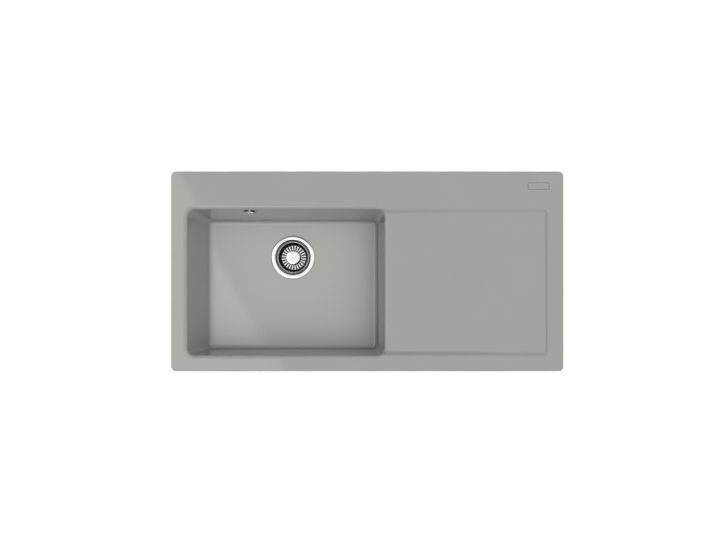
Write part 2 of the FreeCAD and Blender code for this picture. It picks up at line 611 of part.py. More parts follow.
# --- plug: pin, basket, knob and seal -------------------------------------------------------------------
def plug_pin():
    """Steel pin: a collar under the plug, a groove for the clip above it and one for the O-ring below."""
    r, collar = PIN_RADIUS, PIN_COLLAR_DIAMETER / 2
    foot = CUP_HUB + STEEL + REST_GAP
    collar_top = SEAL_TOP - REST_GAP
    clip_low = BASKET_BOTTOM + REST_GAP
    groove = r - CLIP_GROOVE_DEPTH
    ring_z = (foot + SCREW_HEAD_TOP) / 2
    ring_half = O_RING_GROOVE_WIDTH / 2
    ring_groove = r + O_RING_PROUD - O_RING_SECTION
    top = clip_low + PIN_END_ABOVE_CLIP
    pin = turned([(0, foot), (r - PIN_TIP_CHAMFER, foot), (r, foot + PIN_TIP_CHAMFER),
                  (r, ring_z - ring_half), (ring_groove, ring_z - ring_half),
                  (ring_groove, ring_z + ring_half), (r, ring_z + ring_half),
                  (r, collar_top - PIN_COLLAR_THICKNESS), (collar, collar_top - PIN_COLLAR_THICKNESS),
                  (collar, collar_top), (r, collar_top), (r, clip_low), (groove, clip_low),
                  (groove, clip_low + CLIP_THICKNESS), (r, clip_low + CLIP_THICKNESS),
                  (r, top, PIN_TOP_ROUND), (0, top)])
    pin.translate(OUTLET)
    return pin


def pin_o_ring():
    foot = CUP_HUB + STEEL + REST_GAP
    ring_z = (foot + SCREW_HEAD_TOP) / 2
    radius = O_RING_SECTION / 2
    return Part.makeTorus(PIN_RADIUS + O_RING_PROUD - radius, radius, V(OUTLET_X, OUTLET_Y, ring_z))


def pin_clip():
    low = BASKET_BOTTOM + REST_GAP
    clip = ring(CLIP_DIAMETER / 2, PIN_RADIUS - CLIP_GROOVE_DEPTH, low, low + CLIP_THICKNESS)
    mouth = Part.makeBox(CLIP_DIAMETER, CLIP_MOUTH, 2 * CLIP_THICKNESS,
                         V(0, -CLIP_MOUTH / 2, low - CLIP_THICKNESS / 2))
    clip = clip.cut(mouth)
    clip.translate(OUTLET)
    return clip


def strainer_basket():
    """Steel basket: a rolled rim, a steep wall and a flat bottom with radial slots around the knob."""
    rim = BASKET_RIM_DIAMETER / 2
    bottom = BASKET_BOTTOM_DIAMETER / 2
    roll = BASKET_ROLL_ROUND
    line = [(rim, BASKET_RIM_FOOT), (rim, BASKET_RIM, roll), (rim - BASKET_RIM_ROLL, BASKET_RIM, roll),
            (bottom + 1, BASKET_BOTTOM, 2), (PIN_RADIUS + PIN_RUNNING_GAP, BASKET_BOTTOM)]
    basket = pressed(line, BASKET_STEEL)
    slot = radial_slot(BASKET_SLOT_INNER / 2, BASKET_SLOT_OUTER / 2, BASKET_SLOT_WIDTH, BASKET_BOTTOM - 2,
                       BASKET_BOTTOM + 2)
    basket = basket.cut(around(slot, BASKET_SLOTS))
    basket.translate(OUTLET)
    return basket


def basket_knob():
    """Polished mushroom knob on a hollow stem that stands over the clip."""
    cap, stem, hollow = KNOB_DIAMETER / 2, KNOB_STEM_DIAMETER / 2, KNOB_STEM_BORE / 2
    under = KNOB_TOP - KNOB_CAP_HEIGHT
    return turned([(hollow, BASKET_BOTTOM), (stem + 2, BASKET_BOTTOM), (stem, BASKET_BOTTOM + 2, 2),
                   (stem, under, 2), (cap, under + KNOB_UNDERCUT, KNOB_EDGE_ROUND),
                   (cap, KNOB_TOP - KNOB_CROWN_DROP, 2), (cap - KNOB_CROWN_WIDTH, KNOB_TOP, KNOB_CROWN_ROUND),
                   (0, KNOB_TOP), (0, under + 1), (hollow, under + 1)], OUTLET)


def seal_holder():
    """Moulded stopper under the basket that carries the rubber seal and turns on the pin."""
    top = BASKET_BOTTOM - BASKET_STEEL
    bore = PIN_RADIUS + PIN_RUNNING_GAP
    neck = PIN_COLLAR_DIAMETER / 2 + STOPPER_WALL
    shoulder = neck + STOPPER_SHOULDER
    lip = SEAL_DIAMETER / 2 - 1
    return turned([(bore, top), (shoulder, top), (shoulder, top - 2),
                   (neck, SEAL_TOP + STOPPER_FOOT_HEIGHT, 2), (lip, SEAL_TOP + STOPPER_LIP),
                   (lip, SEAL_TOP), (bore, SEAL_TOP)], OUTLET)


def basket_seal():
    inner = PIN_COLLAR_DIAMETER / 2 + REST_GAP
    outer = SEAL_DIAMETER / 2
    return turned([(inner, SEAL_TOP), (outer - 1, SEAL_TOP), (outer, SEAL_FOOT + SEAL_EDGE),
                   (outer, SEAL_FOOT), (inner, SEAL_FOOT)], OUTLET)


# --- overflow -------------------------------------------------------------------------------------------
def overflow_rosette():
    """Chromed ring with a recessed cross of spokes around the screw hub, and a spigot into the wall."""
    outer, t = ROSETTE_DIAMETER / 2, ROSETTE_THICKNESS
    inner = outer - ROSETTE_RING_WIDTH
    spigot = OVERFLOW_HOLE_DIAMETER / 2 - OVERFLOW_HOLE_GAP
    edge = ROSETTE_EDGE_ROUND
    frame = turned([(inner, 0), (outer, 0), (outer, t - ROSETTE_BEVEL, edge),
                    (outer - ROSETTE_BEVEL, t, ROSETTE_BEVEL), (inner + edge, t, edge), (inner - edge, 0)])
    collar = ring(spigot, spigot - ROSETTE_SPIGOT_WALL, -ROSETTE_SPIGOT_LENGTH, ROSETTE_COLLAR_RISE)
    face = t - ROSETTE_RECESS
    spoke = Part.makeBox(inner, ROSETTE_SPOKE_WIDTH, face, V(0, -ROSETTE_SPOKE_WIDTH / 2, 0))
    hub = disc(ROSETTE_HUB_DIAMETER / 2, -1, face + ROSETTE_HUB_PROUD)
    hole = disc(OVERFLOW_SCREW_DIAMETER / 2 + SCREW_CLEARANCE, -2, t + 1)
    return overflow_stack(frame.fuse([collar, hub] + around(spoke, ROSETTE_SPOKES)).cut(hole))


def overflow_screw():
    shank = OVERFLOW_SCREW_DIAMETER / 2
    head = OVERFLOW_SCREW_HEAD_DIAMETER / 2
    seat = ROSETTE_THICKNESS - ROSETTE_RECESS + ROSETTE_HUB_PROUD
    top = seat + OVERFLOW_SCREW_HEAD_HEIGHT
    point = OVERFLOW_SCREW_POINT
    screw = turned([(0, -OVERFLOW_SCREW_REACH), (shank - point, -OVERFLOW_SCREW_REACH),
                    (shank, point - OVERFLOW_SCREW_REACH), (shank, seat), (head, seat),
                    (head, seat + OVERFLOW_SCREW_HEAD_EDGE, OVERFLOW_SCREW_EDGE_ROUND),
                    (head / 2, top, OVERFLOW_SCREW_CROWN_ROUND), (0, top)])
    width, low = CROSS_SLOT_WIDTH, top - CROSS_SLOT_DEPTH
    slots = [Part.makeBox(head, width, 2, V(-head / 2, -width / 2, low)),
             Part.makeBox(width, head, 2, V(-width / 2, -head / 2, low))]
    return overflow_stack(screw.cut(slots))


def overflow_gasket():
    return overflow_stack(ring(ELBOW_FLANGE_DIAMETER / 2, OVERFLOW_HOLE_DIAMETER / 2,
                               -OVERFLOW_WALL - ELBOW_GASKET_THICKNESS, -OVERFLOW_WALL))


def elbow_mouth():
    """Height of the lower end of the elbow's outlet."""
    return OVERFLOW_Z - ELBOW_DROP


def overflow_elbow():
    """Moulded elbow behind the wall: flange, closed barrel with the screw boss, outlet pointing down."""
    front = -OVERFLOW_WALL - ELBOW_GASKET_THICKNESS
    barrel = ELBOW_BARREL_DIAMETER / 2
    end = front - ELBOW_REACH - ELBOW_END
    outside = turned([(0, front), (ELBOW_FLANGE_DIAMETER / 2, front),
                      (ELBOW_FLANGE_DIAMETER / 2, front - ELBOW_FLANGE_THICKNESS),
                      (barrel, front - ELBOW_FLANGE_THICKNESS), (barrel, end, ELBOW_END_ROUND), (0, end)])
    inner = barrel - ELBOW_WALL
    inside = turned([(0, front + 1), (inner, front + 1),
                     (inner, end + ELBOW_WALL, ELBOW_END_ROUND - ELBOW_WALL), (0, end + ELBOW_WALL)])
    boss_foot = -OVERFLOW_SCREW_REACH - 1
    boss = disc(ELBOW_BOSS_DIAMETER / 2, end + ELBOW_WALL / 2, boss_foot + OVERFLOW_INSERT_LENGTH + 1)
    rib = Part.makeBox(barrel - ELBOW_WALL / 2, ELBOW_WALL, boss_foot + OVERFLOW_INSERT_LENGTH - end,
                       V(0, -ELBOW_WALL / 2, end + ELBOW_WALL / 2))
    ribs = [rib.copy(), rib.copy()]
    ribs[1].rotate(ORIGIN, UP, 180)
    place = drop_axis()
    top = overflow_stack(Part.Vertex(0, 0, front - ELBOW_REACH)).Point.z
    mouth = elbow_mouth()
    outlet = disc(STUB_RADIUS, mouth, top, place)
    passage = disc(PIPE_RADIUS - PIPE_WALL, mouth, top, place)
    socket = disc(PIPE_RADIUS + PIPE_SOCKET_GAP, mouth - 1, mouth + PIPE_SOCKET_DEPTH, place)
    shell = overflow_stack(outside).fuse(outlet).cut([overflow_stack(inside), passage, socket])
    core = overflow_stack(boss.fuse(ribs)).common(overflow_stack(outside))
    core = core.cut(passage.cut(overflow_stack(boss)))
    insert_foot = boss_foot + 1
    seat = overflow_stack(hexagon(OVERFLOW_INSERT_FLATS, insert_foot, insert_foot + OVERFLOW_INSERT_LENGTH))
    tip = overflow_stack(disc(OVERFLOW_SCREW_DIAMETER / 2 + SCREW_CLEARANCE, boss_foot,
                              boss_foot + 2 * OVERFLOW_INSERT_LENGTH))
    return shell.fuse(core).cut([seat, tip])


def overflow_insert():
    low = -OVERFLOW_SCREW_REACH
    nut = hexagon(OVERFLOW_INSERT_FLATS, low, low + OVERFLOW_INSERT_LENGTH)
    return overflow_stack(nut.cut(disc(OVERFLOW_SCREW_DIAMETER / 2 + THREAD_CLEARANCE, low - 1,
                                       low + OVERFLOW_INSERT_LENGTH + 1)))


def slip_nut():
    """Hand nut, z = 0 at the mouth of the threaded stub that it is screwed on."""
    outer, thread = NUT_DIAMETER / 2, STUB_RADIUS + THREAD_GAP
    low, high = -NUT_OVERLAP, NUT_LENGTH - NUT_OVERLAP
    hole = PIPE_RADIUS + PIPE_SOCKET_GAP
    nut = turned([(thread, low), (outer, low, NUT_MOUTH_ROUND), (outer, high, NUT_END_ROUND), (hole, high),
                  (hole, high - NUT_END_WALL), (thread, high - NUT_END_WALL)])
    flute = disc(NUT_FLUTE_RADIUS, low - 1, high + 1, V(outer + NUT_FLUTE_RADIUS - NUT_FLUTE_DEPTH, 0, 0))
    return nut.cut(around(flute, NUT_FLUTES))


def cone_washer():
    """Tapered sealing ring between the stub's mouth and the nut's end wall."""
    inner, outer = PIPE_RADIUS, STUB_RADIUS
    top = NUT_LENGTH - NUT_OVERLAP - NUT_END_WALL
    return turned([(inner, 0), (outer, 0), (outer, WASHER_SHOULDER), (inner + WASHER_NOSE_WALL, top),
                   (inner, top)])


def at_elbow(shape):
    return facing(shape, V(drop_axis().x, drop_axis().y, elbow_mouth()), V(0, 0, -1))


def at_inlet(shape):
    direction = inlet_direction()
    return facing(shape, OUTLET + V(0, 0, INLET_Z) + direction * INLET_REACH, direction)


def overflow_pipe():
    """Rigid pipe: down from the elbow, one bend, and level into the waste body."""
    top = V(drop_axis().x, drop_axis().y, elbow_mouth() + PIPE_SOCKET_DEPTH)
    corner = V(top.x, top.y, INLET_Z)
    inward = inlet_direction() * -1
    end = OUTLET + V(0, 0, INLET_Z) + inlet_direction() * (INLET_REACH - PIPE_SOCKET_DEPTH)
    start_bend = corner + UP * PIPE_BEND
    end_bend = corner + inward * PIPE_BEND
    middle = corner + (UP + inward) * PIPE_BEND * (1 - 1 / math.sqrt(2))
    bend = Part.Arc(start_bend, middle, end_bend).toShape()
    path = Part.Wire([Part.LineSegment(top, start_bend).toShape(), bend,
                      Part.LineSegment(end_bend, end).toShape()])
    tubes = []
    for radius in (PIPE_RADIUS, PIPE_RADIUS - PIPE_WALL):
        section = Part.Wire([Part.makeCircle(radius, top, UP)])
        tubes.append(path.makePipeShell([section], True, True))
    return tubes[0].cut(tubes[1])


# --- the set of pieces ----------------------------------------------------------------------------------
PIECES = {
    "sink_body": sink_body,
    "waste_flange": waste_flange,
    "flange_gasket": flange_gasket,
    "body_gasket": body_gasket,
    "waste_body": waste_body,
    "screw_insert": screw_insert,
    "fixing_screw": fixing_screw,
    "plug_pin": plug_pin,
    "pin_o_ring": pin_o_ring,
    "pin_clip": pin_clip,
    "strainer_basket": strainer_basket,
    "basket_knob": basket_knob,
    "seal_holder": seal_holder,
    "basket_seal": basket_seal,
    "overflow_rosette": overflow_rosette,
    "overflow_screw": overflow_screw,
    "overflow_gasket": overflow_gasket,
    "overflow_elbow": overflow_elbow,
    "overflow_insert": overflow_insert,
    "upper_slip_nut": lambda: at_elbow(slip_nut()),
    "upper_cone_washer": lambda: at_elbow(cone_washer()),
    "overflow_pipe": overflow_pipe,
    "lower_slip_nut": lambda: at_inlet(slip_nut()),
    "lower_cone_washer": lambda: at_inlet(cone_washer()),
}

os.makedirs("parts", exist_ok=True)
for name, make in PIECES.items():
    piece = make()
    piece.exportStep("parts/" + name + ".step")
    print(name, "solids", len(piece.Solids), "valid", piece.isValid(), "cm3", round(piece.Volume / 1000, 2))
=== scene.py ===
# %% [markdown]
# # A ceramic kitchen sink with its drainboard, strainer and overflow
#
# The real object is one big glazed casting: a single clay body with a bowl, a sunk drainboard and a
# tap ledge, glazed on top and fired. Two small fittings show on it: a polished steel basket
# strainer in the bowl's floor, and a chromed overflow rosette high on the back wall. Everything
# else (seals, the moulded waste body, the overflow pipe) hangs below the worktop.
#
# The frame gives every piece at its real size and shape, so its ceramic, steel and plastics stay.
# This file adds what a bare solid can't show: the glaze and the bare clay under it, the polish and
# turning marks of the metal, the thread of the outlet, the fired-on mark and the light of a photo
# studio.

# %% Load the frame
import math

import bmesh
import bpy
import json
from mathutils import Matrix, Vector


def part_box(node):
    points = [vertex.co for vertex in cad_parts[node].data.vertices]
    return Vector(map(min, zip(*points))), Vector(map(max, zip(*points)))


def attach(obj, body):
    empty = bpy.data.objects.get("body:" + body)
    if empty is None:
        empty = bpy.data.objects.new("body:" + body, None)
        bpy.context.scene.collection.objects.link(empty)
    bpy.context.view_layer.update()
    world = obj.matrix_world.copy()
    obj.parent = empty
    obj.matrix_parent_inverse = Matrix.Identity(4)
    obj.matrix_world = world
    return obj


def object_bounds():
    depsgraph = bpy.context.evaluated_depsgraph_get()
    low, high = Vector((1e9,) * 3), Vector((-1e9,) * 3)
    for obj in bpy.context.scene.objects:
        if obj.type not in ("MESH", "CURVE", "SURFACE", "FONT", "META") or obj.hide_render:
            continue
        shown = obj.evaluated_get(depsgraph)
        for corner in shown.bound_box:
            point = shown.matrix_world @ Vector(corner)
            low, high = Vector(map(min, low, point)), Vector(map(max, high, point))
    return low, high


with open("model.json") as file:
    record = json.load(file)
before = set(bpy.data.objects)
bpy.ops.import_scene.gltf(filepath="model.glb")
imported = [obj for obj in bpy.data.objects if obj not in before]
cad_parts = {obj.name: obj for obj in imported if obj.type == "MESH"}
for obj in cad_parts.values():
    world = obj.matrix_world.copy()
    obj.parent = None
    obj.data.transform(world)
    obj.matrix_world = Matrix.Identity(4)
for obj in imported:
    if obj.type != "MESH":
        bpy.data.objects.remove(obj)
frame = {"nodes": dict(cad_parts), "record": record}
cad_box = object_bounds()
print("nodes in the frame:", len(frame["nodes"]))

# %% [markdown]
# ## Reading the sizes back from the frame
#
# The sink's outline is the box of the ceramic node, and the waste has a box of its own. They could
# be typed in again, but then two files would have to agree. So only the sizes that a box can't tell
# are named here, in metres. The glaze needs them, because it has to know where the bowl's inside
# ends.

# %% Sizes of the ceramic
MM = 0.001
SINK_LOW, SINK_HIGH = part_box("sink_body")
RIM = SINK_HIGH.z
SIDE_RIM = 40 * MM
FRONT_RIM = 40.5 * MM
TAP_LEDGE = 96 * MM
BOWL_LENGTH = 504 * MM
BOWL_DEPTH = 190 * MM
WALL = 11 * MM
END_WALL_SLOPE = math.tan(math.radians(5.8))
LONG_WALL_SLOPE = math.tan(math.radians(2.9))

X_LEFT = SINK_LOW.x + SIDE_RIM
X_LIP = X_LEFT + BOWL_LENGTH
Y_FRONT = SINK_LOW.y + FRONT_RIM
Y_BACK = SINK_HIGH.y - TAP_LEDGE

FLANGE_LOW, FLANGE_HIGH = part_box("waste_flange")
OUTLET = Vector(((FLANGE_LOW.x + FLANGE_HIGH.x) / 2, (FLANGE_LOW.y + FLANGE_HIGH.y) / 2, 0))
print("ceramic", [round(c, 4) for c in SINK_HIGH - SINK_LOW],
      "outlet at", [round(c, 4) for c in OUTLET])

# %% [markdown]
# ## Choosing faces and edges in code
#
# Every tool of edit mode works on what is selected. A modeller clicks; a script says which faces,
# edges or corners it means by their place or direction. `pick` clears the selection and selects
# what passes a test. It also switches the select mode to that one kind, because with all three on,
# two selected corners would select the edge between.

# %% Selection helpers


def select_alone(obj):
    """Makes one object the only one selected, and the active one."""
    bpy.ops.object.select_all(action="DESELECT")
    obj.select_set(True)
    bpy.context.view_layer.objects.active = obj


def edit(obj):
    select_alone(obj)
    bpy.ops.object.mode_set(mode="EDIT")


def leave_edit():
    bpy.ops.object.mode_set(mode="OBJECT")


def pick(kind, test):
    """Selects the faces, edges or vertices in edit mode that pass the test, and counts them."""
    bpy.context.tool_settings.mesh_select_mode = (kind == "verts", kind == "edges", kind == "faces")
    mesh = bpy.context.edit_object.data
    shape = bmesh.from_edit_mesh(mesh)
    for element in (*shape.faces, *shape.edges, *shape.verts):
        element.select = False
    chosen = [element for element in getattr(shape, kind) if test(element)]
    for element in chosen:
        element.select_set(True)
    shape.select_flush_mode()
    bmesh.update_edit_mesh(mesh)
    return len(chosen)


def apply_modifiers(obj):
    select_alone(obj)
    for modifier in list(obj.modifiers):
        bpy.ops.object.modifier_apply(modifier=modifier.name)


def settle(obj):
    """Puts the object at the origin, with its place in its mesh, as the frame's nodes have it."""
    select_alone(obj)
    bpy.ops.object.transform_apply(location=True, rotation=True, scale=True)


print("helpers ready: edit, pick, apply_modifiers, settle")

# %% [markdown]
# ## The fired-on mark
#
# A glazed sink usually carries a small mark on its tap ledge, printed in ceramic ink and fired with
# the glaze. Here that place is blank: a plain double frame with nothing in it. It could be painted
# by the glaze's material, but a thin line would blur there. Ink stands a tenth of a millimetre
# proud at most, so each frame is a flat outline that gets its rounded corners from a vertex bevel,
# its line width from an inset and its thickness from one extrusion. Its foot lies a hair inside the
# glaze, so that no light gets under it.

# %% Blank mark on the ledge
MARK_CENTRE = Vector((435.6, 216.5, 0)) * MM
MARK_SIZE = Vector((55, 18.5, 1)) * MM
MARK_CORNER = 2.4 * MM
CORNER_SEGMENTS = 8
OUTER_LINE, INNER_LINE = 0.7 * MM, 0.3 * MM
INNER_MARGIN = 1.5 * MM
INK_IN_GLAZE = 0.04 * MM
INK_THICKNESS = 0.1 * MM


def ink_frame(name, margin, line, corner):
    """One closed outline of ink: its outer size is the mark's, less a margin on each side."""
    bpy.ops.object.select_all(action="DESELECT")
    foot = Vector((0, 0, RIM - INK_IN_GLAZE))
    bpy.ops.mesh.primitive_plane_add(size=1, location=MARK_CENTRE + foot)
    frame_line = bpy.context.object
    frame_line.name = name
    frame_line.scale = (MARK_SIZE.x - 2 * margin, MARK_SIZE.y - 2 * margin, 1)
    settle(frame_line)
    edit(frame_line)
    bpy.ops.mesh.select_all(action="SELECT")
    bpy.ops.mesh.bevel(offset=corner, segments=CORNER_SEGMENTS, affect="VERTICES")
    pick("faces", lambda face: True)
    bpy.ops.mesh.inset(thickness=line)
    bpy.ops.mesh.delete(type="FACE")
    bpy.ops.mesh.select_all(action="SELECT")
    bpy.ops.mesh.extrude_region_move(TRANSFORM_OT_translate={"value": (0, 0, INK_THICKNESS)})
    bpy.ops.mesh.select_all(action="SELECT")
    bpy.ops.mesh.normals_make_consistent(inside=False)
    leave_edit()
    return frame_line


mark_outer = ink_frame("mark_outer_line", 0, OUTER_LINE, MARK_CORNER)
mark_inner = ink_frame("mark_inner_line", INNER_MARGIN, INNER_LINE, MARK_CORNER / 2)
for line in (mark_outer, mark_inner):
    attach(line, "sink")
print("mark:", len(mark_outer.data.polygons) + len(mark_inner.data.polygons), "faces")

# %% [markdown]
# ## The thread of the outlet
#
# Under the sink the moulded waste ends in a one and a half inch pipe thread, eleven turns to the
# inch, for the trap's nut. It could be a pattern in the material, but its teeth show against the
# light. A thread is one small tooth that winds up a cylinder. So the tooth is drawn once, as a
# triangle beside the axis, and the Screw modifier turns it round and lifts it by one pitch a turn.
# Its foot is sunk in the tail's wall.

# %% Outlet thread
INCH = 25.4 * MM
TURNS_PER_INCH = 11
PITCH = INCH / TURNS_PER_INCH
TOOTH_PROUD = 0.35 * MM
TOOTH_SUNK = 0.5 * MM
TOOTH_SHARE = 0.44
THREAD_RUN = 22 * MM
THREAD_STEPS = 72
WELD = 0.01 * MM
OUTLET_MOUNT = next(m for m in frame["record"]["mounts"] if m["name"] == "waste_outlet")
TAIL_RADIUS = OUTLET_MOUNT["dims"]["r_mm"] * MM
BODY_LOW, BODY_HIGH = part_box("waste_body")

bpy.ops.object.select_all(action="DESELECT")
bpy.ops.mesh.primitive_circle_add(vertices=3, radius=PITCH,
                                  location=(OUTLET.x, OUTLET.y, BODY_LOW.z + PITCH))
thread = bpy.context.object
thread.name = "outlet_thread"
edit(thread)
tooth = bmesh.from_edit_mesh(thread.data)
root, crest = TAIL_RADIUS - TOOTH_SUNK, TAIL_RADIUS + TOOTH_PROUD
flank = TOOTH_SHARE * PITCH
for corner, place in zip(tooth.verts, ((root, 0, -flank), (crest, 0, 0), (root, 0, flank))):
    corner.co = place
bmesh.update_edit_mesh(thread.data)
leave_edit()
winding = thread.modifiers.new("winding", "SCREW")
winding.screw_offset = PITCH
winding.iterations = int(THREAD_RUN / PITCH)
winding.steps = winding.render_steps = THREAD_STEPS
apply_modifiers(thread)
edit(thread)
bpy.ops.mesh.select_all(action="SELECT")
bpy.ops.mesh.remove_doubles(threshold=WELD)
bpy.ops.mesh.fill_holes(sides=3)
bpy.ops.mesh.select_all(action="SELECT")
bpy.ops.mesh.normals_make_consistent(inside=False)
leave_edit()
settle(thread)
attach(thread, "sink")
print("thread:", len(thread.data.polygons), "faces over", round(THREAD_RUN / MM), "mm")

# %% [markdown]
# ## Effects that several finishes share
#
# No real surface has one even gloss. A glaze has pooled a little while it ran, steel has been
# wiped, plastic has cooled unevenly. Each material could hold its own noise, but the same few nodes
# would be written again and again. So two small node groups give all the finishes that life, each
# with its own numbers: `mottle` puts out a soft value between a low and a high limit, and `ripple`
# a normal that lets reflections swim.

# %% Shared node groups
NOISE_LOW, NOISE_HIGH = 0.3, 0.7      # nearly all of a noise texture lies between these


def new_group(name, inputs, output, output_type):
    """An empty shader group with float inputs, a Vector input first, and one output."""
    tree = bpy.data.node_groups.new(name, "ShaderNodeTree")
    tree.interface.new_socket("Vector", in_out="INPUT", socket_type="NodeSocketVector")
    for label, value in inputs.items():
        socket = tree.interface.new_socket(label, in_out="INPUT", socket_type="NodeSocketFloat")
        socket.default_value = value
    tree.interface.new_socket(output, in_out="OUTPUT", socket_type=output_type)
    return tree, tree.nodes.new("NodeGroupInput"), tree.nodes.new("NodeGroupOutput")


def mottle_group():
    tree, given, result = new_group("mottle", {"Scale": 20, "Low": 0, "High": 1},
                                    "Value", "NodeSocketFloat")
    noise = tree.nodes.new("ShaderNodeTexNoise")
    noise.inputs["Detail"].default_value = 3
    spread = tree.nodes.new("ShaderNodeMapRange")
    spread.inputs["From Min"].default_value = NOISE_LOW
    spread.inputs["From Max"].default_value = NOISE_HIGH
    tree.links.new(given.outputs["Vector"], noise.inputs["Vector"])
    tree.links.new(given.outputs["Scale"], noise.inputs["Scale"])
    tree.links.new(noise.outputs["Fac"], spread.inputs["Value"])
    tree.links.new(given.outputs["Low"], spread.inputs["To Min"])
    tree.links.new(given.outputs["High"], spread.inputs["To Max"])
    tree.links.new(spread.outputs["Result"], result.inputs["Value"])
    return tree


def ripple_group():
    tree, given, result = new_group("ripple", {"Scale": 20, "Height": MM},
                                    "Normal", "NodeSocketVector")
    noise = tree.nodes.new("ShaderNodeTexNoise")
    noise.inputs["Detail"].default_value = 2
    bump = tree.nodes.new("ShaderNodeBump")
    tree.links.new(given.outputs["Vector"], noise.inputs["Vector"])
    tree.links.new(given.outputs["Scale"], noise.inputs["Scale"])
    tree.links.new(noise.outputs["Fac"], bump.inputs["Height"])
    tree.links.new(given.outputs["Height"], bump.inputs["Distance"])
    tree.links.new(bump.outputs["Normal"], result.inputs["Normal"])
    return tree


MOTTLE, RIPPLE = mottle_group(), ripple_group()
print("node groups:", [tree.name for tree in bpy.data.node_groups])

# %% [markdown]
# ## Writing a finish
#
# Each finish is a Principled shader with its even values set on its own sockets, and what changes
# over the surface linked in. Nodes could be placed one by one in every cell below. The class only
# saves that typing: it adds a node, sets its inputs and hands back its output. A mask is a value
# that is one inside an area and nought outside, so masks are joined by multiplying them.

# %% Material helpers


class Finish:
    """A material being written: its tree, its shader and the place that every pattern reads."""

    def __init__(self, name, colour, roughness, metallic=0.0):
        self.material = bpy.data.materials.new(name)
        self.material.use_nodes = True
        self.material.diffuse_color = (*colour, 1)
        self.tree = self.material.node_tree
        self.shader = self.tree.nodes["Principled BSDF"]
        self.shader.inputs["Base Color"].default_value = (*colour, 1)
        self.shader.inputs["Roughness"].default_value = roughness
        self.shader.inputs["Metallic"].default_value = metallic
        self.place = self.tree.nodes.new("ShaderNodeTexCoord").outputs["Object"]

    def node(self, kind, output, settings=None, **given):
        """Adds a node. A given value that is an output is linked, any other is set."""
        made = self.tree.nodes.new(kind)
        for name, value in (settings or {}).items():
            setattr(made, name, value)
        for name, value in given.items():
            by_number = name[1:].isdigit()
            socket = made.inputs[int(name[1:]) if by_number else name.replace("_", " ")]
            if isinstance(value, bpy.types.NodeSocket):
                self.tree.links.new(value, socket)
            else:
                socket.default_value = value
        return made.outputs[output]

    def lead(self, output, socket):
        self.tree.links.new(output, self.shader.inputs[socket])

    def math(self, operation, a, b=0):
        return self.node("ShaderNodeMath", 0, {"operation": operation}, _0=a, _1=b)

    def all_of(self, first, *others):
        """The mask of what lies inside every one of the masks."""
        for mask in others:
            first = self.math("MULTIPLY", first, mask)
        return first

    def between(self, value, low, high):
        return self.all_of(self.math("GREATER_THAN", value, low),
                           self.math("LESS_THAN", value, high))

    def parts(self, vector):
        """The x, y and z of a vector output."""
        split = self.tree.nodes.new("ShaderNodeSeparateXYZ")
        self.tree.links.new(vector, split.inputs[0])
        return split.outputs

    def moved(self, centre):
        """The place measured from a centre."""
        return self.node("ShaderNodeMapping", "Vector", Vector=self.place, Location=centre * -1)

    def blend(self, factor, a, b):
        """Mixes two colours by a factor, which may be an output."""
        made = self.tree.nodes.new("ShaderNodeMix")
        made.data_type = "RGBA"
        for socket, value in zip((made.inputs[0], made.inputs[6], made.inputs[7]), (factor, a, b)):
            if isinstance(value, bpy.types.NodeSocket):
                self.tree.links.new(value, socket)
            else:
                socket.default_value = (*value, 1) if isinstance(value, tuple) else value
        return made.outputs[2]

    def mottle(self, scale, low=0, high=1):
        return self.node("ShaderNodeGroup", "Value", {"node_tree": MOTTLE}, Vector=self.place,
                         Scale=scale, Low=low, High=high)

    def uneven_gloss(self, scale, smooth, dull):
        self.lead(self.mottle(scale, smooth, dull), "Roughness")

    def rippled(self, scale, height):
        self.lead(self.node("ShaderNodeGroup", "Normal", {"node_tree": RIPPLE}, Vector=self.place,
                            Scale=scale, Height=height), "Normal")

    def noise(self, scale, detail):
        return self.node("ShaderNodeTexNoise", "Fac", Vector=self.place, Scale=scale, Detail=detail)

    def bump(self, height, distance, under=None):
        more = {"Normal": under} if under else {}
        return self.node("ShaderNodeBump", "Normal", Height=height, Distance=distance, **more)


print("finishes are written with", [name for name in dir(Finish) if not name.startswith("_")])

# %% [markdown]
# ## Where the clay is bare
#
# The sink is glazed from above, so only what is seen from above is glassy. The underside stays
# bare. One mesh carries both, and its faces could be sorted into two material slots, but the
# fillets would show the steps between them. So the material finds the border by place. A point is
# bare if it lies below the rim's foot and outside a box with rounded corners that follows the
# bowl's drawn-in walls through the middle of the clay, or if it is under the floor. The pockets
# under the ledge and the narrow rims reach up higher than that border. They are found inside the
# skirt and outside the recess of bowl and drainboard.

# %% Border of glaze and clay
BORDER_DEPTH = 6 * MM
HALF_WALL = WALL / 2
MID_CORNER = 23 * MM
SKIRT_INSIDE = (478 * MM, 243 * MM)
POCKET_TOP = 8 * MM


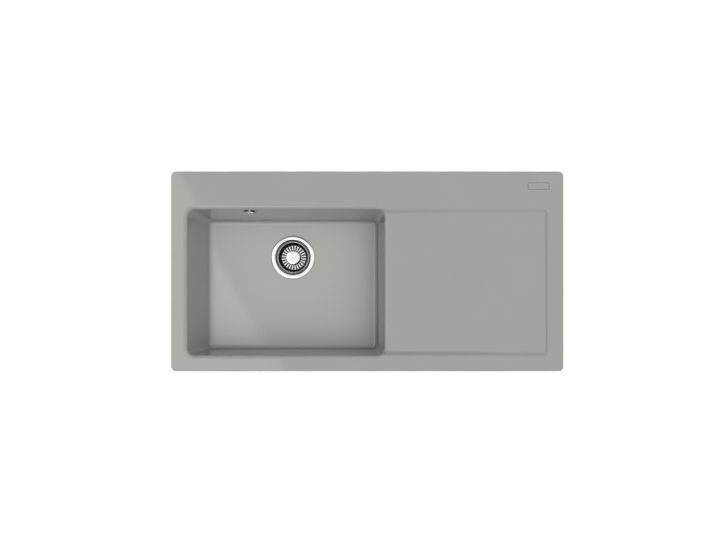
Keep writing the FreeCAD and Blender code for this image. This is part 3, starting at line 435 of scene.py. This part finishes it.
def bare_clay(finish):
    """The mask of the clay that is left without glaze."""
    x, y, z = finish.parts(finish.place)
    below_rim = finish.math("SUBTRACT", RIM, z)
    x_half, y_half = (X_LIP - X_LEFT) / 2, (Y_BACK - Y_FRONT) / 2
    from_x = finish.math("ABSOLUTE", finish.math("SUBTRACT", x, (X_LEFT + X_LIP) / 2))
    from_y = finish.math("ABSOLUTE", finish.math("SUBTRACT", y, (Y_FRONT + Y_BACK) / 2))

    squares = []
    for away, slope, half in ((from_x, END_WALL_SLOPE, x_half), (from_y, LONG_WALL_SLOPE, y_half)):
        drawn_in = finish.math("ADD", away, finish.math("MULTIPLY", below_rim, slope))
        into_corner = finish.math("SUBTRACT", drawn_in, half + HALF_WALL - MID_CORNER)
        squares.append(finish.math("POWER", finish.math("MAXIMUM", into_corner), 2))
    reach = finish.math("SQRT", finish.math("ADD", *squares))
    round_bowl = finish.math("GREATER_THAN", reach, MID_CORNER)
    under_floor = finish.math("GREATER_THAN", below_rim, BOWL_DEPTH + HALF_WALL)
    below_border = finish.all_of(finish.math("MAXIMUM", round_bowl, under_floor),
                                 finish.math("LESS_THAN", z, -BORDER_DEPTH))

    off_x, off_y = finish.math("ABSOLUTE", x), finish.math("ABSOLUTE", y)
    past_recess = finish.math("MAXIMUM", finish.math("SUBTRACT", off_x, SINK_HIGH.x - SIDE_RIM),
                              finish.math("SUBTRACT", from_y, y_half))
    in_pocket = finish.all_of(finish.math("LESS_THAN", z, POCKET_TOP),
                              finish.math("GREATER_THAN", past_recess, 0),
                              finish.math("LESS_THAN", off_x, SKIRT_INSIDE[0]),
                              finish.math("LESS_THAN", off_y, SKIRT_INSIDE[1]))
    return finish.math("MAXIMUM", below_border, in_pocket)


print("bare below", round(-BORDER_DEPTH / MM), "mm, and in the pockets below",
      round(POCKET_TOP / MM), "mm")

# %% [markdown]
# ## Glaze and clay
#
# The glaze runs a little before it sets, so its tone varies a little from thin to thick. The bowl's
# floor is painted paler than the rest of the glaze: painted light, standing in for the light from
# above that reaches it. The glaze is never quite flat: a slow waviness bends the reflection of the
# studio's soft box, and a much finer one, the orange peel, softens it. The clay is dull, a little
# warmer in colour, and gritty. Waves and grit could be modelled, but they are far finer than the
# mesh, so three noises make them as bumps, each laid on the one before.

# %% Ceramic
GLAZE = (0.385, 0.386, 0.368)
GLAZE_THIN = (0.372, 0.374, 0.358)
GLAZE_FLOOR_PAINTED_LIGHT = (0.462, 0.463, 0.437)
GLAZE_GLOSS = 0.06
FLOOR_LIGHT_DEPTH = 9 * MM
CLAY = (0.56, 0.52, 0.455)
CLAY_STAINED = (0.48, 0.44, 0.375)
CLAY_ROUGHNESS = 0.93
WAVE_HEIGHT, PEEL_HEIGHT, GRIT_HEIGHT = 0.07 * MM, 0.004 * MM, 0.12 * MM

ceramic = Finish("ceramic_glaze", GLAZE, GLAZE_GLOSS)
bare = bare_clay(ceramic)
floor_level = RIM - BOWL_DEPTH
# painted light: the bowl's floor and the lowest 9 mm of its walls are painted paler
floor_painted_light = ceramic.node("ShaderNodeMapRange", "Result", Value=ceramic.parts(ceramic.place)[2],
                      From_Min=floor_level + FLOOR_LIGHT_DEPTH, From_Max=floor_level + MM,
                      To_Min=0.0, To_Max=1.0)
thin_or_thick = ceramic.blend(ceramic.mottle(6), GLAZE, GLAZE_THIN)
glaze = ceramic.blend(floor_painted_light, thin_or_thick, GLAZE_FLOOR_PAINTED_LIGHT)
clay = ceramic.blend(ceramic.mottle(22), CLAY, CLAY_STAINED)
ceramic.lead(ceramic.blend(bare, glaze, clay), "Base Color")

gloss = ceramic.mottle(9, 0.045, 0.075)
dullness = ceramic.math("MULTIPLY", bare, CLAY_ROUGHNESS)
ceramic.lead(ceramic.math("MAXIMUM", gloss, dullness), "Roughness")

surface = ceramic.bump(ceramic.noise(11, 1), WAVE_HEIGHT)
surface = ceramic.bump(ceramic.noise(240, 1), PEEL_HEIGHT, surface)
surface = ceramic.bump(ceramic.math("MULTIPLY", ceramic.noise(1400, 2), bare), GRIT_HEIGHT, surface)
ceramic.lead(surface, "Normal")
print("ceramic:", len(ceramic.tree.nodes), "nodes")

# %% [markdown]
# ## Measuring round the outlet's axis
#
# The strainer and its flange are spun from sheet on a lathe and then polished, so their finest
# marks run round the outlet's axis. An anisotropic shader could draw reflections out in the same
# way, but the exported model would lose it. So rings of a wave texture are centred on that axis by
# a Mapping node, far too fine to see one by one. The strainer's zones of bright metal and painted
# shade are rings too, so a second helper gives the distance from the axis, the turn about it and
# the height.

# %% Lathe marks
BRIGHT = (0.82, 0.82, 0.81)
RING_SCALE = 300 * MM      # about the spacing of a wave texture's rings at scale 1
SHEET_MARKS = 0.6 * MM
SHEET_MARK_HEIGHT = 0.002 * MM


def rings(finish, spacing, height):
    """Leads lathe marks round the outlet's axis to the shader's normal."""
    settings = {"wave_type": "RINGS", "rings_direction": "Z"}
    marks = finish.node("ShaderNodeTexWave", "Fac", settings, Vector=finish.moved(OUTLET),
                        Scale=RING_SCALE / spacing, Distortion=1.2, Detail=2)
    finish.lead(finish.bump(marks, height), "Normal")


def from_outlet(finish):
    """The distance from the outlet's axis, the turn about it and the height."""
    x, y, z = finish.parts(finish.moved(OUTLET))
    squares = [finish.math("POWER", side, 2) for side in (x, y)]
    return finish.math("SQRT", finish.math("ADD", *squares)), finish.math("ARCTAN2", y, x), z


def sheet_steel(name):
    """Stainless sheet, spun and polished."""
    finish = Finish(name, BRIGHT, 0.13, 1)
    finish.uneven_gloss(60, smooth=0.09, dull=0.18)
    rings(finish, SHEET_MARKS, SHEET_MARK_HEIGHT)
    return finish


print("lathe marks every", SHEET_MARKS / MM, "mm")

# %% [markdown]
# ## The strainer's steel and its painted shade
#
# Sheet steel deep in a cup mirrors only other steel, again and again, and looks nearly black but
# for its rims and the ribs between the basket's slots, which catch the light from above. Rays alone
# give some of this, but softly: the cup here has few bounces and a white room above it. So the
# shade is also painted, as base colours by place. The basket is painted dark below its rolled rim,
# but for 24 bright ribs, and its rolled rim is painted grey. The flange is bright, with painted
# shade: its cone grey and its cup dark. The knob has a bright face and an edge painted dark. This
# paints shade into the metal, so it suits a view from above best.

# %% Strainer steel and its painted shade
# painted shade: grey for the cone and the basket's rolled rim, near black in the cup, dark on the
# knob's edge
GREY_PAINTED_SHADE = (0.43, 0.43, 0.43)
CUP_PAINTED_SHADE, KNOB_EDGE_PAINTED_SHADE = (0.15, 0.15, 0.155), (0.16, 0.16, 0.16)
BASKET_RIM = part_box("strainer_basket")[1].z
SHADE_LEVEL = BASKET_RIM - 2.5 * MM
CUP_MOUTH = 42.7 * MM
CONE_MOUTH = 49.8 * MM
ROLL = 41 * MM
KNOB_FACE = 18.7 * MM
RIB_COUNT = 24
RIB_SHARE = -0.42
RIBS = (21.4 * MM, 33.5 * MM)

basket_steel = sheet_steel("basket_steel")
radius, turn, height = from_outlet(basket_steel)
rib_wave = basket_steel.math("COSINE", basket_steel.math("MULTIPLY", turn, RIB_COUNT))
on_ribs = basket_steel.all_of(basket_steel.between(radius, *RIBS),
                              basket_steel.math("LESS_THAN", rib_wave, RIB_SHARE))
# painted shade: dark on the basket below its rim except on the ribs, grey on its rolled rim
dark = basket_steel.all_of(basket_steel.math("LESS_THAN", height, SHADE_LEVEL),
                           basket_steel.math("SUBTRACT", 1, on_ribs))
rolled = basket_steel.blend(basket_steel.math("GREATER_THAN", radius, ROLL), BRIGHT, GREY_PAINTED_SHADE)
basket_steel.lead(basket_steel.blend(dark, rolled, CUP_PAINTED_SHADE), "Base Color")

cup_steel = sheet_steel("cup_steel")
radius, turn, height = from_outlet(cup_steel)
# painted shade: dark in the flange's cup, grey on its cone
dark = cup_steel.all_of(cup_steel.math("LESS_THAN", radius, CUP_MOUTH),
                        cup_steel.math("LESS_THAN", height, SHADE_LEVEL))
cone = cup_steel.blend(cup_steel.math("LESS_THAN", radius, CONE_MOUTH), BRIGHT, GREY_PAINTED_SHADE)
cup_steel.lead(cup_steel.blend(dark, cone, CUP_PAINTED_SHADE), "Base Color")

knob_steel = sheet_steel("knob_steel")
radius, turn, height = from_outlet(knob_steel)
# painted shade on the knob's edge
knob_edge_shade = knob_steel.math("GREATER_THAN", radius, KNOB_FACE)
knob_steel.lead(knob_steel.blend(knob_edge_shade, BRIGHT, KNOB_EDGE_PAINTED_SHADE), "Base Color")
print("strainer:", RIB_COUNT, "ribs, dark below", round(SHADE_LEVEL / MM, 1), "mm")

# %% [markdown]
# ## Turned steel, chrome and brass
#
# The fixing screw, the pin and its clip are turned and left duller than the sheet, with coarser
# marks. Chrome is plated on smooth metal, so it has no grain, only the faint veil of dried water.
# The brass of the inserts has tarnished a little. All three could be one metal in three colours,
# but it is the difference in their marks that tells them apart.

# %% Turned steel, chrome and brass
turned = Finish("turned_steel", (0.62, 0.62, 0.61), 0.28, 1)
turned.uneven_gloss(240, smooth=0.22, dull=0.36)
rings(turned, 0.3 * MM, 0.006 * MM)

chrome = Finish("bright_chrome", (0.82, 0.83, 0.84), 0.05, 1)
chrome.uneven_gloss(180, smooth=0.03, dull=0.1)
chrome.rippled(35, 0.02 * MM)

brass = Finish("turned_brass", (0.62, 0.42, 0.16), 0.3, 1)
brass.lead(brass.blend(brass.mottle(260), (0.64, 0.44, 0.17), (0.42, 0.27, 0.1)), "Base Color")
brass.uneven_gloss(400, smooth=0.24, dull=0.42)
brass.rippled(900, 0.01 * MM)
print("small metal:", [finish.material.name for finish in (turned, chrome, brass)])

# %% [markdown]
# ## The overflow's rosette
#
# The rosette is a chromed ring with four spokes over a dish that carries the water away. The dish
# lies in its own shade, and its rim and hub don't. As with the strainer, rays alone leave it too
# pale, so its shade is painted: a shell about its middle, between two distances, gets a dark base
# colour, and all the rest of its chrome is painted darker than the bright chrome.

# %% Rosette
ROSETTE_LOW, ROSETTE_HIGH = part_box("overflow_rosette")
DISH = (4.6 * MM, 14.6 * MM)
# painted shade: the rosette's chrome is darker than bright_chrome, and its dish is near black
ROSETTE_CHROME_PAINTED_SHADE, ROSETTE_DISH_PAINTED_SHADE = (0.5, 0.51, 0.52), (0.035, 0.035, 0.037)

rosette_chrome = Finish("rosette_chrome", ROSETTE_CHROME_PAINTED_SHADE, 0.07, 1)
offset = rosette_chrome.moved((ROSETTE_LOW + ROSETTE_HIGH) / 2)
length = rosette_chrome.node("ShaderNodeVectorMath", "Value", {"operation": "LENGTH"}, _0=offset)
dish_painted_shade = rosette_chrome.between(length, *DISH)
rosette_chrome.lead(rosette_chrome.blend(dish_painted_shade, ROSETTE_CHROME_PAINTED_SHADE, ROSETTE_DISH_PAINTED_SHADE), "Base Color")
rosette_chrome.uneven_gloss(180, smooth=0.04, dull=0.12)
print("rosette:", round((ROSETTE_HIGH.x - ROSETTE_LOW.x) / MM, 1), "mm across")

# %% [markdown]
# ## Plastics
#
# The waste body, elbow and pipe are injection-moulded polypropylene: white, waxy rather than
# glossy, with a little light scattered inside it and a faint spark-eroded grain from the mould. A
# plain white would look like paint, so the colour also drifts a little, as it does where the melt
# flowed together. The seal's holder is a darker, harder plastic.

# %% Plastics
WAXY_DEPTH = 2 * MM

plastic = Finish("white_polypropylene", (0.74, 0.74, 0.715), 0.42)
flow = plastic.mottle(14)
plastic.lead(plastic.blend(flow, (0.755, 0.755, 0.73), (0.70, 0.70, 0.67)), "Base Color")
plastic.uneven_gloss(50, smooth=0.36, dull=0.5)
plastic.rippled(1300, 0.03 * MM)
plastic.shader.inputs["Subsurface Weight"].default_value = 0.08
plastic.shader.inputs["Subsurface Radius"].default_value = (WAXY_DEPTH, WAXY_DEPTH, WAXY_DEPTH)

holder = Finish("dark_holder_plastic", (0.022, 0.022, 0.024), 0.38)
holder.uneven_gloss(90, smooth=0.3, dull=0.48)
holder.rippled(1100, 0.02 * MM)
print("plastics:", [finish.material.name for finish in (plastic, holder)])

# %% [markdown]
# ## Rubber and ink
#
# The seals are matt black rubber with a bloom of pale dust, which a plain black would lack. The
# mark's ink is a dark grey enamel, fired with the glaze, so it is nearly as glossy. It has worn a
# little unevenly.

# %% Rubber and ink
rubber = Finish("black_rubber", (0.014, 0.014, 0.014), 0.7)
bloom = rubber.mottle(120, 0, 0.35)
rubber.lead(rubber.blend(bloom, (0.012, 0.012, 0.012), (0.07, 0.068, 0.064)), "Base Color")
rubber.uneven_gloss(150, smooth=0.58, dull=0.82)
rubber.rippled(800, 0.04 * MM)

ink = Finish("fired_enamel_ink", (0.09, 0.092, 0.095), 0.16)
ink.lead(ink.blend(ink.mottle(700), (0.085, 0.087, 0.09), (0.12, 0.122, 0.124)), "Base Color")
ink.uneven_gloss(300, smooth=0.1, dull=0.24)
print("rubber and ink:", [finish.material.name for finish in (rubber, ink)])

# %% [markdown]
# ## Dressing every piece
#
# The frame's record says which material slot each piece has. The finishes could be handed out piece
# by piece, but with the record a new piece is dressed without a new line. Four pieces have a finish
# that belongs to them alone, so they are looked up by name first.

# %% Dressing every piece
FINISH_OF_NODE = {"strainer_basket": basket_steel, "waste_flange": cup_steel,
                  "basket_knob": knob_steel, "overflow_rosette": rosette_chrome}
FINISH_OF_SLOT = {"glazed_ceramic": ceramic, "screw_steel": turned, "chrome_plate": chrome,
                  "insert_brass": brass, "seal_rubber": rubber, "moulded_plastic": plastic,
                  "stopper_plastic": holder}
for part in frame["record"]["subparts"]:
    finish = FINISH_OF_NODE.get(part["node"]) or FINISH_OF_SLOT[part["material_slot"]]
    for material_slot in frame["nodes"][part["node"]].material_slots:
        material_slot.material = finish.material
thread.data.materials.append(plastic.material)
for line in (mark_outer, mark_inner):
    line.data.materials.append(ink.material)

# %% [markdown]
# ## The floor
#
# The object was photographed from straight above on white. A pale floor lies under the outlet.
# Enough light to turn it white would burn out the glaze too. So what the camera, and a mirror, see
# of it is lifted towards white by a Light Path node, and the object gets no more light for it.
# Only the soft shadow stays.

# %% Floor
FLOOR_SIZE = 12
FLOOR_PALE = 0.8
FLOOR_LIFT = 0.6

bpy.ops.object.select_all(action="DESELECT")
bpy.ops.mesh.primitive_plane_add(size=FLOOR_SIZE, location=(0, 0, cad_box[0].z))
floor = bpy.context.object
floor.name = "studio_floor"
settle(floor)
pale = Finish("pale_floor", (FLOOR_PALE, FLOOR_PALE, FLOOR_PALE), 0.9)
rays = pale.tree.nodes.new("ShaderNodeLightPath")
seen = pale.math("MAXIMUM", rays.outputs["Is Camera Ray"], rays.outputs["Is Glossy Ray"])
pale.shader.inputs["Emission Color"].default_value = (1, 1, 1, 1)
pale.lead(pale.math("MULTIPLY", seen, FLOOR_LIFT), "Emission Strength")
floor.data.materials.append(pale.material)
print("floor at", round(cad_box[0].z / MM), "mm")

# %% [markdown]
# ## The light
#
# A bowl is lit from its mouth, so an even sky would leave its floor dark. This sky is brightest
# overhead, as a lit studio ceiling is, and reaches down to it: the brightness rises with a high
# power of the angle's cosine. Many small lamps could do it, with many small shadows. The camera and
# the mirrors see a plain white room instead. One large soft box at the left adds gloss alone: the
# glaze mirrors its straight edge as a diagonal change of tone.

# %% Light
WHITE = (1, 1, 1, 1)
SKY_ROUND = 0.34
SKY_OVERHEAD = 5.7
SKY_FOCUS = 18
SKY_AXIS = (0.17, -0.12, 1)
BOX_LIGHT = 1.35
BOX_SIZE = (1.6, 3.0)
BOX_PLACE = (-1.42, -0.32, 2.2)
BOX_TURN = math.radians(27.55)

sky = bpy.data.worlds.new("studio_sky")
bpy.context.scene.world = sky
sky.use_nodes = True
nodes, links = sky.node_tree.nodes, sky.node_tree.links
soft, backdrop = nodes["Background"], nodes.new("ShaderNodeBackground")
for background in (soft, backdrop):
    background.inputs["Color"].default_value = WHITE
backdrop.inputs["Strength"].default_value = 1

toward = nodes.new("ShaderNodeVectorMath")
toward.operation = "DOT_PRODUCT"
toward.inputs[1].default_value = Vector(SKY_AXIS).normalized()
links.new(nodes.new("ShaderNodeTexCoord").outputs["Generated"], toward.inputs[0])
strength = toward.outputs["Value"]
for operation, value in (("MAXIMUM", 0), ("POWER", SKY_FOCUS), ("MULTIPLY", SKY_OVERHEAD),
                         ("ADD", SKY_ROUND)):
    step = nodes.new("ShaderNodeMath")
    step.operation = operation
    step.inputs[1].default_value = value
    links.new(strength, step.inputs[0])
    strength = step.outputs[0]
links.new(strength, soft.inputs["Strength"])

rays = nodes.new("ShaderNodeLightPath")
seen = nodes.new("ShaderNodeMath")
seen.operation = "MAXIMUM"
links.new(rays.outputs["Is Camera Ray"], seen.inputs[0])
links.new(rays.outputs["Is Glossy Ray"], seen.inputs[1])
either = nodes.new("ShaderNodeMixShader")
for source, socket in ((seen, 0), (soft, 1), (backdrop, 2)):
    links.new(source.outputs[0], either.inputs[socket])
links.new(either.outputs[0], nodes["World Output"].inputs["Surface"])

bpy.ops.object.light_add(type="AREA", location=BOX_PLACE, rotation=(0, 0, BOX_TURN))
soft_box = bpy.context.object
soft_box.name = "soft_box"
soft_box.data.shape = "RECTANGLE"
soft_box.data.size, soft_box.data.size_y = BOX_SIZE
soft_box.data.energy = BOX_LIGHT * math.pi * BOX_SIZE[0] * BOX_SIZE[1]
soft_box.visible_diffuse = False
print("soft box:", round(soft_box.data.energy, 1), "W")

# %% [markdown]
# ## The camera
#
# The sink was seen from close by: the bowl's four walls all show, which a view from far away would
# nearly hide. So the camera's place comes from how much of each wall is seen, and its lens from the
# sink's width in the picture. It looks straight down. The lens shift brings its frame over the
# sink, because tilting it would make the outline a trapezium.

# %% Camera
CAMERA_PLACE = (-0.001, -0.098, 1.876)
SENSOR_WIDTH = 36
LENS = 36.86
SHIFT = (-0.0125, 0.0557)

bpy.ops.object.camera_add(location=CAMERA_PLACE, rotation=(0, 0, 0))
camera = bpy.context.object
camera.data.sensor_width = SENSOR_WIDTH
camera.data.lens = LENS
camera.data.shift_x, camera.data.shift_y = SHIFT
bpy.context.scene.camera = camera
bpy.context.scene.view_settings.view_transform = "Standard"
print("camera", round(camera.location.z, 3), "m up, lens", round(camera.data.lens, 2), "mm")

# %% [markdown] ## The end of the scene
